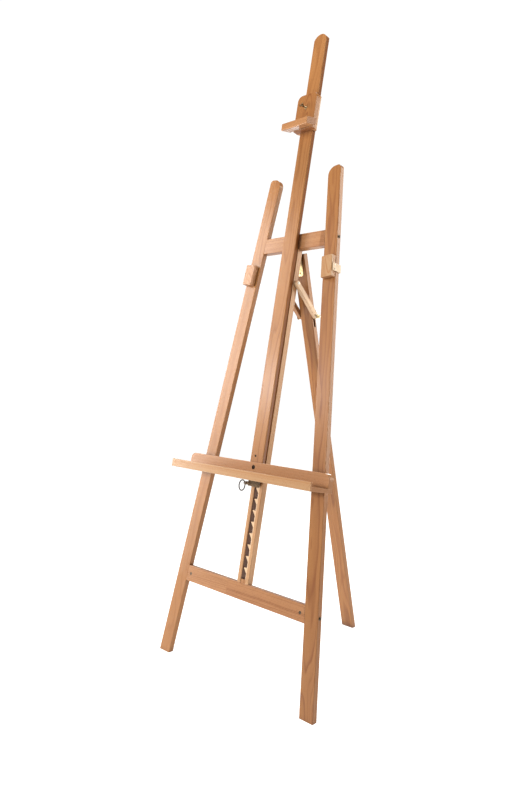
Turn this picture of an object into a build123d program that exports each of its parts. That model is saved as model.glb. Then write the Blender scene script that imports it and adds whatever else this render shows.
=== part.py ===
from build123d import *
from math import cos, degrees, radians, sin, sqrt, tan, atan
import os

# A single-mast studio easel in oiled beech.
#
# The front frame is drawn upright and flat: X to the viewer's right, Y from the front
# face of the legs towards the back, Z up the frame. It is then leaned back about the
# line through its front feet. The rear leg and the brace are drawn hanging straight
# down from their own pivots and swung out to where they stand.
#
# Finished part: millimetres, +Z up, front towards -Y, origin on the floor in the middle
# of the footprint.

# Stance
LEAN = 12.33                # front frame, degrees back from upright
BASE_WIDTH = 694.0          # over the outer edges of the front feet
TOP_WIDTH = 307.0           # over the outer edges of the legs at their tops
LEG_TOP = 1648.0            # leg tops, up the frame
REAR_SWING = 11.86          # rear leg, degrees from upright

# Timber
STOCK = 18.0                # thickness of legs and lower crossbar
LEG_WIDTH = 50.0
LEG_INNER_ROUND = 28.0      # rounding of the leg top on the side of the mast
LEG_OUTER_ROUND = 12.0
SOFT = 1.5                  # softened long edges
BAR_HEIGHT = 52.0           # both crossbars
LOWER_BAR = 253.0           # underside of the lower crossbar
UPPER_BAR = 1388.0          # underside of the upper crossbar
UPPER_BAR_BACK = 22.0       # the upper crossbar is the thicker of the two
FOOT_ALLOWANCE = 40.0       # left on a leg below the line of its foot before it is cut

# Slotted post and its ratchet
POST_HALF = 25.0
POST_DEPTH = 21.5           # depth of the rails
SLOT_LEFT = -9.5
RACK_BACK = 12.0            # the rack is let in against the right rail here
RACK_ROOT = 9.0
TOOTH_TIP = -3.0
TOOTH_PITCH = 36.1
TOOTH_SLOPE = 17.0          # height of the sloping underside of a tooth
TOOTH_COUNT = 21
TOOTH_EDGE = 1.5            # blunt front of each tooth
FOOT_BLOCK = 12.5           # block that closes the bottom of the slot
TOP_BLOCK = 148.0           # block that closes the top of the slot

# Mast
MAST_WIDTH = 56.0
MAST_BACK_WIDTH = 45.0      # the sides are undercut
MAST_THICK = 20.0
MAST_GAP = 0.6              # running gap in front of the post
MAST_FOOT = 630.0
MAST_TOP = 2130.5
MAST_CHAMFER = 2.0

# Tray
TRAY_HALF = 308.0
BOARD_FRONT = -29.0
BOARD_BACK = -9.0
BOARD_TOP = 685.0
BOARD_ROUND = 20.0
SHELF_THICK = 12.0
LIP_FRONT = -108.0
LIP_THICK = 7.0
LIP_TOP = 656.0
HOUSING_GAP = 0.1           # joinery gap around the mast

# Rear leg, hinge and brace
REAR_WIDTH = 50.0
REAR_THICK = 18.0
HINGE_Y = 25.0
HINGE_Z = 1386.0
LEG_BEHIND_HINGE = 1.5      # hinge pin to the front face of the rear leg
HINGE_WIDTH = 25.0
KNUCKLE = 3.0               # knuckle radius
HINGE_PIN = 1.5
LEAF = 1.6
UPPER_LEAF = 50.0
LOWER_LEAF = 76.5
BRACE_Y = 9.0
BRACE_Z = 1276.0
BRACE_LENGTH = 139.0        # pivot to slot bolt
ARM_WIDTH = 16.0
ARM_THICK = 15.0
ARM_GAP = 0.6
SLOT_HALF = 4.0             # half width of the slot for the 6 mm bolt
FOLD_TO = -23.2             # rear leg range, degrees
OPEN_TO = 1.0

# Canvas holder on the mast
HOLDER_HALF = 41.5
HOLDER_BOTTOM = 1786.0
HOLDER_TOP = 1909.0
HOLDER_ROUND = 18.0
PLATE_THICK = 18.0
HOLDER_GAP = 0.4
CHEEK_DEPTH = 12.0
CHEEK_CHAMFER = 7.0         # on the outer back edge
LEDGE_HALF = 55.8
LEDGE_FRONT = -82.0
LEDGE_BOTTOM = 1787.5       # at the plate
LEDGE_THICK = 24.0
LEDGE_DROOP = 14.0          # the front of the ledge is this much lower than its back
WING_HEIGHT = 1860.5

# Side pads on the legs
PAD_BOTTOM = 1287.0         # measured up the leg
PAD_HEIGHT = 69.0
PAD_INNER = -17.0
PAD_OUTER = 24.0
PAD_LAYER = 9.5
PAD_GAP = 0.5
CLIP_HEIGHT = 24.5
CLIP_RISE = 17.5            # clip above the bottom of the pad
CLIP_THICK = 3.0
CLIP_GAP = 0.5              # clip to the leg
CLIP_HOOK = 18.0            # how far the clip reaches in behind the leg

# Fasteners
M6 = 3.0                    # shank radii
M5 = 2.5
WOOD_SCREW = 1.75
SCREW_HEAD = 3.2            # head radius of the small wood screws
FIT = 0.05                  # radial gap between a fastener and its hole
BARREL = 5.0                # radius of barrel and sleeve nuts
THROUGH = 80.0              # half length of a cut that passes right through

BACK_FACE = -MAST_GAP
MAST_FRONT = -MAST_GAP - MAST_THICK
SHELF_TOP = MAST_FOOT + SHELF_THICK
SPLAY = degrees(atan((BASE_WIDTH - TOP_WIDTH) / 2 / LEG_TOP))
FOOT_CENTRE = BASE_WIDTH / 2 - LEG_WIDTH / 2 / cos(radians(SPLAY))


# ---- Small helpers ----

def block(x, y, z):
    """A box between pairs of limits."""
    size = (x[1] - x[0], y[1] - y[0], z[1] - z[0])
    return Pos(x[0], y[0], z[0]) * Box(*size, align=(Align.MIN, Align.MIN, Align.MIN))


def timber(x, y, z, along):
    """A squared length of timber with its long edges softened."""
    return fillet(block(x, y, z).edges().filter_by(along), SOFT)


def upright(sketch, y):
    """A plate cut to an outline drawn in X and Z, between two depths."""
    return Pos(0, y[0], 0) * extrude(Plane.XZ * sketch, amount=y[0] - y[1])


def rod_x(radius, x, y, z):
    """A round bar along X between two limits."""
    turned = Rot(0, 90, 0) * Cylinder(radius, x[1] - x[0], align=(Align.CENTER, Align.CENTER, Align.MIN))
    return Pos(x[0], y, z) * turned


def rod_y(radius, x, y, z):
    """A round bar along Y between two limits."""
    turned = Rot(-90, 0, 0) * Cylinder(radius, y[1] - y[0], align=(Align.CENTER, Align.CENTER, Align.MIN))
    return Pos(x, y[0], z) * turned


def rod_z(radius, x, y, z):
    """A round bar along Z between two limits."""
    upright_bar = Cylinder(radius, z[1] - z[0], align=(Align.CENTER, Align.CENTER, Align.MIN))
    return Pos(x, y, z[0]) * upright_bar


def hex_nut_y(across, x, y, z):
    """A hexagonal nut blank along Y."""
    blank = extrude(RegularPolygon(across / 2, 6, major_radius=False), amount=y[1] - y[0])
    return Pos(x, y[0], z) * Rot(-90, 0, 0) * blank


def domed_head_x(radius, height, x, y, z, facing):
    """A low round head whose flat side is at x and whose crown faces +X or -X."""
    head = Cylinder(radius, height, align=(Align.CENTER, Align.CENTER, Align.MIN))
    crown = head.edges().filter_by(GeomType.CIRCLE).group_by(Axis.Z)[-1]
    return Pos(x, y, z) * Rot(0, 90 * facing, 0) * fillet(crown, height * 0.6)


def mirrored(shape):
    """The same shape on the other side of the mast."""
    return mirror(shape, about=Plane.YZ)


def both_sides(shapes):
    """The shapes and their mirror images."""
    return shapes + [mirrored(shape) for shape in shapes]


def on_right_leg(shape):
    """Move a shape from the line of the leg to its place in the frame."""
    return Pos(FOOT_CENTRE, 0, 0) * Rot(0, -SPLAY, 0) * shape


# ---- Where the pivots stand in the finished part ----

def leaned(y, z):
    """A point of the front frame as it stands, before the footprint is centred."""
    lean = radians(LEAN)
    return y * cos(lean) + z * sin(lean), z * cos(lean) - y * sin(lean)


SWING = radians(REAR_SWING)
HINGE_AT = leaned(HINGE_Y, HINGE_Z)
BRACE_AT = leaned(BRACE_Y, BRACE_Z)
LEG_MIDDLE = LEG_BEHIND_HINGE + REAR_THICK / 2
LEG_BACK = LEG_BEHIND_HINGE + REAR_THICK


def rear_point(down, behind, swing=SWING):
    """A point of the rear leg: so far down from the hinge, so far behind its pin."""
    y = HINGE_AT[0] + behind * cos(swing) + down * sin(swing)
    z = HINGE_AT[1] + behind * sin(swing) - down * cos(swing)
    return y, z


def slot_distance(swing):
    """How far down the rear leg the brace holds its bolt at a given swing."""
    y, z = rear_point(0, LEG_MIDDLE, swing)
    dy = y - BRACE_AT[0]
    dz = z - BRACE_AT[1]
    along = dy * sin(swing) - dz * cos(swing)
    return -along + sqrt(along ** 2 - dy ** 2 - dz ** 2 + BRACE_LENGTH ** 2)


SLOT_BOLT = slot_distance(SWING)
SLOT_TOP = slot_distance(SWING + radians(OPEN_TO))
SLOT_END = slot_distance(SWING + radians(FOLD_TO))
BOLT_AT = rear_point(SLOT_BOLT, LEG_MIDDLE)
BRACE_SWING = degrees(atan((BOLT_AT[0] - BRACE_AT[0]) / (BRACE_AT[1] - BOLT_AT[1])))
REAR_LENGTH = (HINGE_AT[1] + LEG_BACK * sin(SWING)) / cos(SWING)
FOOTPRINT = rear_point(REAR_LENGTH, LEG_BACK)[0]


def centred(shape):
    """Shift the standing easel so that its footprint is centred on the origin."""
    return Pos(0, -FOOTPRINT / 2, 0) * shape


def in_frame(shape):
    """Front-frame shape, leaned back."""
    return centred(Rot(-LEAN, 0, 0) * shape)


def in_rear_leg(shape):
    """Rear-leg shape, drawn hanging from the hinge pin, swung out."""
    return centred(Pos(0, *HINGE_AT) * Rot(REAR_SWING, 0, 0) * shape)


def in_brace(shape):
    """Brace shape, drawn hanging from its pivot, swung out."""
    return centred(Pos(0, *BRACE_AT) * Rot(BRACE_SWING, 0, 0) * shape)


def above_floor(shape):
    """Cut a foot level with the floor."""
    return shape - block((-BASE_WIDTH, BASE_WIDTH), (-FOOTPRINT, FOOTPRINT), (-5 * FOOT_ALLOWANCE, 0))


# ---- Front frame ----

BOLT_DEPTH = STOCK / 2
BAR_BOLTS = [LOWER_BAR + BAR_HEIGHT / 2, UPPER_BAR + BAR_HEIGHT / 2]
BARREL_INSET = 17.0         # barrel nut centre from the end of the crossbar
BARREL_SLOT = 0.7           # half width of the slot that turns a barrel nut
BOLT_HEAD = 5.0
BOLT_HEAD_HEIGHT = 1.8
BOLT_HEAD_GAP = 0.6         # under the head, where the leg is splayed


def leg_edge(z, outer):
    """X of the outer or inner edge of the right leg at a height up the frame."""
    outside = BASE_WIDTH / 2 - z * tan(radians(SPLAY))
    return outside if outer else outside - LEG_WIDTH / cos(radians(SPLAY))


def bar_bolt(z, gap=0.0):
    """Right-hand bolt through the leg into a barrel nut in the crossbar."""
    outside = leg_edge(z, True)
    nut_at = leg_edge(z, False) - BARREL_INSET
    shank = rod_x(M6 + gap, (nut_at - BARREL + 1, outside + 1), BOLT_DEPTH, z)
    head = domed_head_x(BOLT_HEAD + gap, BOLT_HEAD_HEIGHT, outside + BOLT_HEAD_GAP, BOLT_DEPTH, z, 1)
    return shank + head


def barrel_nut(z, y, gap=0.0):
    """Right-hand barrel nut, with the slot that turns it."""
    nut_at = leg_edge(z, False) - BARREL_INSET
    body = rod_y(BARREL + gap, nut_at, y, z)
    if gap:
        return body
    slot = block((nut_at - 4, nut_at + 4), (y[0] - 1, y[0] + 1), (z - BARREL_SLOT, z + BARREL_SLOT))
    return body - bar_bolt(z, FIT) - slot


LOWER_BARREL = (0.4, STOCK - 3)
LOWER_BARREL_HOLE = (-1, STOCK - 3)
UPPER_BARREL = (3.0, UPPER_BAR_BACK - 0.4)
UPPER_BARREL_HOLE = (3.0, UPPER_BAR_BACK + 1)


def front_leg():
    """Right front leg with its rounded top, before the foot is cut."""
    length = LEG_TOP / cos(radians(SPLAY)) + 4 + FOOT_ALLOWANCE
    outline = Pos(0, -FOOT_ALLOWANCE) * Rectangle(LEG_WIDTH, length, align=(Align.CENTER, Align.MIN))
    outline = fillet(outline.vertices().group_by(Axis.Y)[-1].sort_by(Axis.X)[0], LEG_INNER_ROUND)
    outline = fillet(outline.vertices().group_by(Axis.Y)[-1].sort_by(Axis.X)[-1], LEG_OUTER_ROUND)
    leg = upright(outline, (0, STOCK))
    rims = leg.faces().sort_by(Axis.Y)[0].edges() + leg.faces().sort_by(Axis.Y)[-1].edges()
    leg = on_right_leg(fillet(rims, SOFT))
    for z in BAR_BOLTS:
        leg -= bar_bolt(z, FIT)
    return leg


def crossbar(z, y, barrel_hole, screws):
    """A crossbar between the legs, with its bolt, barrel-nut and screw holes."""
    half = BASE_WIDTH / 2
    bar = timber((-half, half), y, (z, z + BAR_HEIGHT), Axis.X)
    beyond = on_right_leg(block((-LEG_WIDTH / 2, half), (-THROUGH, THROUGH), (0, LEG_TOP)))
    bolt_line = z + BAR_HEIGHT / 2
    holes = bar_bolt(bolt_line, FIT) + barrel_nut(bolt_line, barrel_hole, FIT)
    for cut in both_sides([beyond, holes]) + screws:
        bar -= cut
    return bar


POST_SCREW_X = (-17.0, 18.5)
POST_SCREW_HEAD = 3.8
POST_SCREW_HEAD_HEIGHT = 3.0
POST_SCREW_BITE = 28.0      # into the end of the rail


def post_screw(x, z, direction, gap):
    """One screw that pins the end of a post rail: its head is sunk in the crossbar."""
    tip = z + direction * (BAR_HEIGHT + POST_SCREW_BITE)
    shank = rod_z(WOOD_SCREW + gap, x, BRACE_Y, sorted((z, tip)))
    head = rod_z(POST_SCREW_HEAD + gap, x, BRACE_Y, sorted((z, z + direction * POST_SCREW_HEAD_HEIGHT)))
    return shank + head


def post_screws(gap=0.0):
    """Two screws up through the lower crossbar and two down through the upper one."""
    low = [post_screw(x, LOWER_BAR, 1, gap) for x in POST_SCREW_X]
    high = [post_screw(x, UPPER_BAR + BAR_HEIGHT, -1, gap) for x in POST_SCREW_X]
    return low + high


POST_SPAN = (LOWER_BAR + BAR_HEIGHT, UPPER_BAR)


def post_rail(x):
    """One side of the slotted post."""
    rail = timber(x, (0, POST_DEPTH), POST_SPAN, Axis.Z)
    for screw in post_screws(FIT):
        rail -= screw
    return rail - brace_pivot(FIT)


def ratchet_rack():
    """Strip of saw teeth in the slot: flat ledges on top, sloping undersides."""
    base = POST_SPAN[0] + FOOT_BLOCK
    points = [(RACK_BACK, base), (RACK_ROOT, base)]
    for number in range(1, TOOTH_COUNT + 1):
        ledge = base + number * TOOTH_PITCH
        points += [(RACK_ROOT, ledge - TOOTH_SLOPE), (TOOTH_TIP, ledge - TOOTH_EDGE)]
        points += [(TOOTH_TIP, ledge), (RACK_ROOT, ledge)]
    points[-1] = (RACK_BACK, points[-1][1])
    outline = make_face(Polyline(*points, close=True))
    return upright(outline, (SOFT, STOCK - SOFT))


def slot_block(z):
    """Block glued between the two post rails."""
    return block((SLOT_LEFT, RACK_BACK), (SOFT, STOCK - SOFT), z) - brace_pivot(FIT)


# ---- Rear hinge ----

HINGE_HALF = HINGE_WIDTH / 2
MIDDLE_KNUCKLE = 4.2
KNUCKLE_GAP = 0.3
LEAF_SCREW = 3.4
LEAF_SCREW_BITE = 13.0
PIN_HEAD = 2.3
UPPER_LEAF_SCREWS = (14.0, 40.0)
LOWER_LEAF_SCREWS = (18.0, 42.0, 67.0)


def hinge_upper_leaf():
    """Leaf on the back of the upper crossbar with the two outer knuckles."""
    depth = (UPPER_BAR_BACK, UPPER_BAR_BACK + LEAF)
    leaf = block((-HINGE_HALF, HINGE_HALF), depth, (HINGE_Z, HINGE_Z + UPPER_LEAF))
    knuckles = rod_x(KNUCKLE, (-HINGE_HALF, HINGE_HALF), HINGE_Y, HINGE_Z)
    middle = MIDDLE_KNUCKLE + KNUCKLE_GAP
    room = rod_x(KNUCKLE + 0.4, (-middle, middle), HINGE_Y, HINGE_Z)
    leaf = leaf + knuckles - room
    leaf -= rod_x(HINGE_PIN + FIT, (-THROUGH, THROUGH), HINGE_Y, HINGE_Z)
    leaf -= block((-THROUGH, THROUGH), (0, UPPER_BAR_BACK), (HINGE_Z - 10, HINGE_Z + 100))
    for screw in hinge_upper_screws(FIT):
        leaf -= screw
    return leaf


def hinge_pin():
    """Pin through the three knuckles, with a flat head at each end."""
    shaft = rod_x(HINGE_PIN, (-HINGE_HALF - 0.4, HINGE_HALF + 0.4), HINGE_Y, HINGE_Z)
    left_head = rod_x(PIN_HEAD, (-HINGE_HALF - 1.4, -HINGE_HALF - 0.2), HINGE_Y, HINGE_Z)
    return shaft + left_head + mirrored(left_head)


def leaf_screw(x, y, z, inwards, gap):
    """A short screw along Y through a leaf: its low head stands on the leaf."""
    head = rod_y(LEAF_SCREW + gap, x, sorted((y, y - inwards)), z)
    shank = rod_y(WOOD_SCREW + gap, x, sorted((y - inwards * 0.5, y + inwards * LEAF_SCREW_BITE)), z)
    return head + shank


def hinge_upper_screws(gap=0.0):
    """Screws of the upper leaf."""
    outer_face = UPPER_BAR_BACK + LEAF
    return [leaf_screw(0, outer_face, HINGE_Z + up, -1, gap) for up in UPPER_LEAF_SCREWS]


def hinge_lower_leaf():
    """Strap on the front of the rear leg with the middle knuckle, hanging from the pin."""
    front = LEG_BEHIND_HINGE - LEAF
    strap = Pos(0, -LOWER_LEAF) * Rectangle(HINGE_WIDTH, LOWER_LEAF - 4, align=(Align.CENTER, Align.MIN))
    strap = chamfer(strap.vertices().group_by(Axis.Y)[0], 5)
    leaf = upright(strap, (front, LEG_BEHIND_HINGE))
    leaf += block((-MIDDLE_KNUCKLE, MIDDLE_KNUCKLE), (front, LEG_BEHIND_HINGE), (-6, 0))
    leaf += rod_x(KNUCKLE, (-MIDDLE_KNUCKLE, MIDDLE_KNUCKLE), 0, 0)
    leaf -= rod_x(HINGE_PIN + FIT, (-THROUGH, THROUGH), 0, 0)
    for screw in hinge_lower_screws(FIT):
        leaf -= screw
    return leaf


def hinge_lower_screws(gap=0.0):
    """Screws of the lower leaf."""
    outer_face = LEG_BEHIND_HINGE - LEAF
    return [leaf_screw(0, outer_face, -down, 1, gap) for down in LOWER_LEAF_SCREWS]


# ---- Rear leg and brace ----

LEG_START = 5.0             # rear leg below the hinge pin
ARM_INNER = POST_HALF + ARM_GAP
ARM_OUTER = ARM_INNER + ARM_THICK
PIVOT_HEAD = 4.8
PIVOT_HEAD_HEIGHT = 1.8


def rear_leg():
    """Rear leg hanging from the hinge, with the slot for the brace bolt through it."""
    half = REAR_WIDTH / 2
    through = (-THROUGH, THROUGH)
    low = -REAR_LENGTH - FOOT_ALLOWANCE
    leg = timber((-half, half), (LEG_BEHIND_HINGE, LEG_BACK), (low, -LEG_START), Axis.Z)
    leg = chamfer(leg.faces().sort_by(Axis.Z)[-1].edges(), 1.0)
    leg -= rod_x(SLOT_HALF, through, LEG_MIDDLE, -SLOT_TOP)
    leg -= rod_x(SLOT_HALF, through, LEG_MIDDLE, -SLOT_END)
    leg -= block(through, (LEG_MIDDLE - SLOT_HALF, LEG_MIDDLE + SLOT_HALF), (-SLOT_END, -SLOT_TOP))
    leg -= rod_x(KNUCKLE + 0.6, through, 0, 0)
    for screw in hinge_lower_screws(FIT):
        leg -= screw
    return leg


def brace_arm():
    """Right arm of the brace, hanging from its pivot: round ends and two bolt holes."""
    half = ARM_WIDTH / 2
    stick = block((ARM_INNER, ARM_OUTER), (-half, half), (-BRACE_LENGTH, 0))
    stick += rod_x(half, (ARM_INNER, ARM_OUTER), 0, 0)
    stick += rod_x(half, (ARM_INNER, ARM_OUTER), 0, -BRACE_LENGTH)
    sides = stick.faces().filter_by(Axis.X)
    stick = chamfer(sides.edges(), 1.0)
    stick -= rod_x(M6 + FIT, (0, THROUGH), 0, 0)
    return stick - rod_x(M6 + FIT, (0, THROUGH), 0, -BRACE_LENGTH)


def brace_pivot(gap=0.0):
    """Bolt through the post on which both arms turn, its right end riveted over."""
    reach = ARM_OUTER + 0.3
    shank = rod_x(M6 + gap, (-reach - 0.5, reach + 0.5), BRACE_Y, BRACE_Z)
    if gap:
        return shank
    right = domed_head_x(PIVOT_HEAD, PIVOT_HEAD_HEIGHT, reach, BRACE_Y, BRACE_Z, 1)
    return shank + right + mirrored(right)


WASHER = 10.0
WASHER_THICK = 1.4
WING_START = ARM_OUTER + WASHER_THICK + 0.2
SLOT_BOLT_HEAD = 6.2
SLOT_BOLT_HEAD_HEIGHT = 3.0
SLOT_BOLT_SPARE = 13.0      # bolt beyond the face of the wing nut
NUT_HUB = (7.5, 5.0)        # radius of the wing nut at its base and at its end
NUT_HEIGHT = 9.0
NUT_TURN = 35.0
NUT_WING = 12.0             # tip of a wing from the axis
WING_TIP = 3.2              # radius of a wing tip


def slot_bolt():
    """Bolt through both arms and the slot; its left end has a domed head."""
    left_end = -ARM_OUTER - WASHER_THICK
    shank = rod_x(M6, (left_end - 1, WING_START + SLOT_BOLT_SPARE), 0, -BRACE_LENGTH)
    head = domed_head_x(SLOT_BOLT_HEAD, SLOT_BOLT_HEAD_HEIGHT, left_end, 0, -BRACE_LENGTH, -1)
    return shank + head


def slot_washers():
    """A washer outside each arm."""
    ring = rod_x(WASHER, (ARM_OUTER, ARM_OUTER + WASHER_THICK), 0, -BRACE_LENGTH)
    ring -= rod_x(M6 + FIT, (0, THROUGH), 0, -BRACE_LENGTH)
    return [ring, mirrored(ring)]


def wing_blade(side, reach):
    """One wing of a wing nut or wing screw, standing out in Z beside a hub along X."""
    root = Pos(5, side * (reach - WING_TIP) / 2) * Rectangle(6, reach - WING_TIP)
    tip = Pos(10, side * (reach - WING_TIP)) * Circle(WING_TIP)
    outline = make_hull(root.edges() + tip.edges())
    return extrude(Plane.XZ * outline, amount=1.3, both=True)


def brace_wing_nut():
    """Wing nut on the right end of the slot bolt."""
    hub = Cone(*NUT_HUB, NUT_HEIGHT, align=(Align.CENTER, Align.CENTER, Align.MIN))
    nut = Rot(0, 90, 0) * hub
    nut += wing_blade(1, NUT_WING)
    nut += wing_blade(-1, NUT_WING)
    nut -= rod_x(M6 + FIT, (-THROUGH, THROUGH), 0, 0)
    return Pos(WING_START, 0, -BRACE_LENGTH) * Rot(NUT_TURN, 0, 0) * nut


# ---- Mast and tray ----

KEEPER_X = (SLOT_LEFT + TOOTH_TIP) / 2
KEEPER_HEIGHTS = (652.0, 705.0)
KEEPER_PLATE = (POST_DEPTH + 0.3, POST_DEPTH + 1.9)
KEEPER_NUT = 3.2
TRAY_BOLT_Z = 669.0
TRAY_BOLT_HEAD = 5.2
TRAY_BOLT_RECESS = 7.2      # radius
RECESS_DEPTH = 5.0
SLEEVE = 9.0                # length of the sleeve nut
KEEPER_HEAD = 4.0
KEEPER_PLATE_HALF = 21.0
KEEPER_PLATE_SPARE = 17.0   # plate beyond the bolts
KEEPER_NUT_ACROSS = 8.0
TRAY_SCREW_HEAD = 3.6
TRAY_SCREW_X = (-240.0, -80.0, 80.0, 240.0)


def mast_section(grow=0.0):
    """Cross-section of the mast: front arrises chamfered, sides undercut."""
    front = MAST_WIDTH / 2 + grow
    back = MAST_BACK_WIDTH / 2 + grow
    near = MAST_FRONT - grow
    half = [
        (front - MAST_CHAMFER, near),
        (front, near + MAST_CHAMFER),
        (back, BACK_FACE),
    ]
    other_half = [(-x, y) for x, y in reversed(half)]
    return make_face(Polyline(*half, *other_half, close=True))


def mast():
    """The sliding mast with its rounded head."""
    blank = Pos(0, 0, MAST_FOOT) * extrude(mast_section(), amount=MAST_TOP - MAST_FOOT)
    radius = MAST_WIDTH / 2
    straight = MAST_TOP - radius - MAST_FOOT
    outline = Pos(0, MAST_FOOT) * Rectangle(MAST_WIDTH, straight, align=(Align.CENTER, Align.MIN))
    outline += Pos(0, MAST_TOP - radius) * Circle(radius)
    blank &= upright(outline, (MAST_FRONT - 5, 5))
    blank -= tray_bolt(FIT)
    blank -= tray_bolt_nut(FIT)
    for bolt in keeper_bolts(FIT):
        blank -= bolt
    return blank


def mast_room():
    """Space that the mast takes out of the tray."""
    return Pos(0, 0, MAST_FOOT - 5) * extrude(mast_section(HOUSING_GAP), amount=BOARD_TOP - MAST_FOOT + 20)


def tray_back_board():
    """Board across the back of the tray, housed over the front of the mast."""
    height = BOARD_TOP - SHELF_TOP
    outline = Pos(0, SHELF_TOP) * Rectangle(2 * TRAY_HALF, height, align=(Align.CENTER, Align.MIN))
    outline = fillet(outline.vertices().group_by(Axis.Y)[-1], BOARD_ROUND)
    board = upright(outline, (BOARD_FRONT, BOARD_BACK))
    front_edges = board.faces().sort_by(Axis.Y)[0].edges()
    board = fillet(front_edges.filter_by(lambda edge: edge.center().Z > SHELF_TOP + 1), SOFT)
    board -= mast_room()
    board -= tray_bolt(FIT)
    board -= rod_y(TRAY_BOLT_RECESS, 0, (BOARD_FRONT - 1, BOARD_FRONT + RECESS_DEPTH), TRAY_BOLT_Z)
    for screw in tray_screws(FIT):
        board -= screw
    return board


def tray_shelf():
    """Shelf that the canvas stands on, notched around the mast."""
    shelf = block((-TRAY_HALF, TRAY_HALF), (LIP_FRONT + LIP_THICK, BOARD_BACK), (MAST_FOOT, SHELF_TOP))
    shelf -= mast_room()
    for screw in tray_screws(FIT):
        shelf -= screw
    for screw in bracket_screws(FIT):
        shelf -= screw
    return shelf


def tray_lip():
    """Strip along the front of the shelf that stops the canvas sliding off."""
    lip = block((-TRAY_HALF, TRAY_HALF), (LIP_FRONT, LIP_FRONT + LIP_THICK), (MAST_FOOT, LIP_TOP))
    top_edges = lip.faces().sort_by(Axis.Z)[-1].edges()
    front_low = lip.edges().filter_by(Axis.X).sort_by(Axis.Z)[0:2].sort_by(Axis.Y)[0]
    return fillet(top_edges + ShapeList([front_low]), SOFT)


def tray_bolt(gap=0.0):
    """Bolt that ties the tray board to the mast; its head sits in a recess."""
    head_back = BOARD_FRONT + RECESS_DEPTH
    head = rod_y(TRAY_BOLT_HEAD + gap, 0, (head_back - 3, head_back), TRAY_BOLT_Z)
    shank = rod_y(M6 + gap, 0, (head_back - 1, BACK_FACE - 2), TRAY_BOLT_Z)
    if gap:
        return head + shank
    socket = extrude(RegularPolygon(2.0, 6, major_radius=False), amount=2)
    return head + shank - Pos(0, head_back - 3, TRAY_BOLT_Z) * Rot(-90, 0, 0) * socket


def tray_bolt_nut(gap=0.0):
    """Sleeve nut let into the back of the mast for the tray bolt."""
    if gap:
        return rod_y(BARREL + gap, 0, (BACK_FACE - SLEEVE, BACK_FACE + 1), TRAY_BOLT_Z)
    return rod_y(BARREL, 0, (BACK_FACE - SLEEVE, BACK_FACE - 0.4), TRAY_BOLT_Z) - tray_bolt(FIT)


def tray_screws(gap=0.0):
    """Screws up through the shelf into the back board."""
    middle = (BOARD_FRONT + BOARD_BACK) / 2
    screws = []
    for x in TRAY_SCREW_X:
        head = rod_z(TRAY_SCREW_HEAD + gap, x, middle, (MAST_FOOT, MAST_FOOT + 2.5))
        screws.append(head + rod_z(WOOD_SCREW + gap, x, middle, (MAST_FOOT + 2, SHELF_TOP + 22)))
    return screws


def keeper_bolts(gap=0.0):
    """Bolts through the mast and the slot that hold the keeper plate."""
    bolts = []
    for z in KEEPER_HEIGHTS:
        head_front = MAST_FRONT - 1 if gap else MAST_FRONT + 0.5
        head = rod_y(KEEPER_HEAD + gap, KEEPER_X, (head_front, MAST_FRONT + 3), z)
        shank = rod_y(M5 + gap, KEEPER_X, (MAST_FRONT + 2, KEEPER_PLATE[1] + KEEPER_NUT), z)
        bolts.append(head + shank)
    return bolts


def keeper_plate():
    """Steel plate that slides on the back of the post."""
    z = (KEEPER_HEIGHTS[0] - KEEPER_PLATE_SPARE, KEEPER_HEIGHTS[1] + KEEPER_PLATE_SPARE)
    plate = block((-KEEPER_PLATE_HALF, KEEPER_PLATE_HALF), KEEPER_PLATE, z)
    plate = fillet(plate.edges().filter_by(Axis.Y), 4)
    for bolt in keeper_bolts(FIT):
        plate -= bolt
    return plate


def keeper_nuts():
    """Nuts behind the keeper plate."""
    nuts = []
    for z in KEEPER_HEIGHTS:
        nut = hex_nut_y(KEEPER_NUT_ACROSS, KEEPER_X, (KEEPER_PLATE[1], KEEPER_PLATE[1] + KEEPER_NUT), z)
        nuts.append(nut - rod_y(M5 + FIT, KEEPER_X, (0, THROUGH), z))
    return nuts


# ---- Catch under the tray, drawn clear of the teeth ----

SHEET = 1.6                 # sheet steel of the bracket
BRACKET_X = (-34.0, 15.0)
BRACKET_FRONT = -7.8
BRACKET_BACK = -0.8
BRACKET_LOW = 607.5
BRACKET_FLANGE = -36.0      # front of the flange screwed to the shelf
BRACKET_SCREW_Y = -30.0
BRACKET_SCREW_INSET = 8.0
PAWL_X = (-8.0, -4.0)
BAR_LENGTH = 12.0           # sliding bar to the left of the pawl
PAWL_BOTTOM = 606.5
PAWL_TOP = 620.5
BAR_Y = (-5.1, -2.3)
ROD_Y = (BAR_Y[0] + BAR_Y[1]) / 2
ROD_Z = 613.0
ROD_RADIUS = 1.4
SPRING_RADIUS = 1.9         # to the middle of its wire
SPRING_WIRE = 0.3
SPRING_TURNS = 8
EYE_X = -52.0
EYE = 5.4
EYE_ROOM = 1.2              # between the wire of the ring and the hole of the eye
RING_WIRE = 1.9
RING_TALL = 16.8            # half axes of the ring, to the middle of its wire
RING_WIDE = 13.4
RING_DROP = 7.7             # middle of the ring below the pull rod


def catch_bracket():
    """Bent steel cover under the tray that guides the catch, open below."""
    top = MAST_FOOT - SHEET
    depth = (BRACKET_FRONT, BRACKET_BACK)
    bracket = block(BRACKET_X, (BRACKET_FLANGE, BRACKET_BACK), (top, MAST_FOOT))
    bracket += block(BRACKET_X, (BRACKET_FRONT, BRACKET_FRONT + SHEET), (BRACKET_LOW, MAST_FOOT))
    end_wall = (BRACKET_X[0], BRACKET_X[0] + SHEET)
    bracket += block(end_wall, depth, (BRACKET_LOW, MAST_FOOT))
    bracket -= rod_x(ROD_RADIUS + 0.1, (EYE_X, PAWL_X[0] - BAR_LENGTH), ROD_Y, ROD_Z)
    for screw in bracket_screws(FIT):
        bracket -= screw
    return bracket


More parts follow.
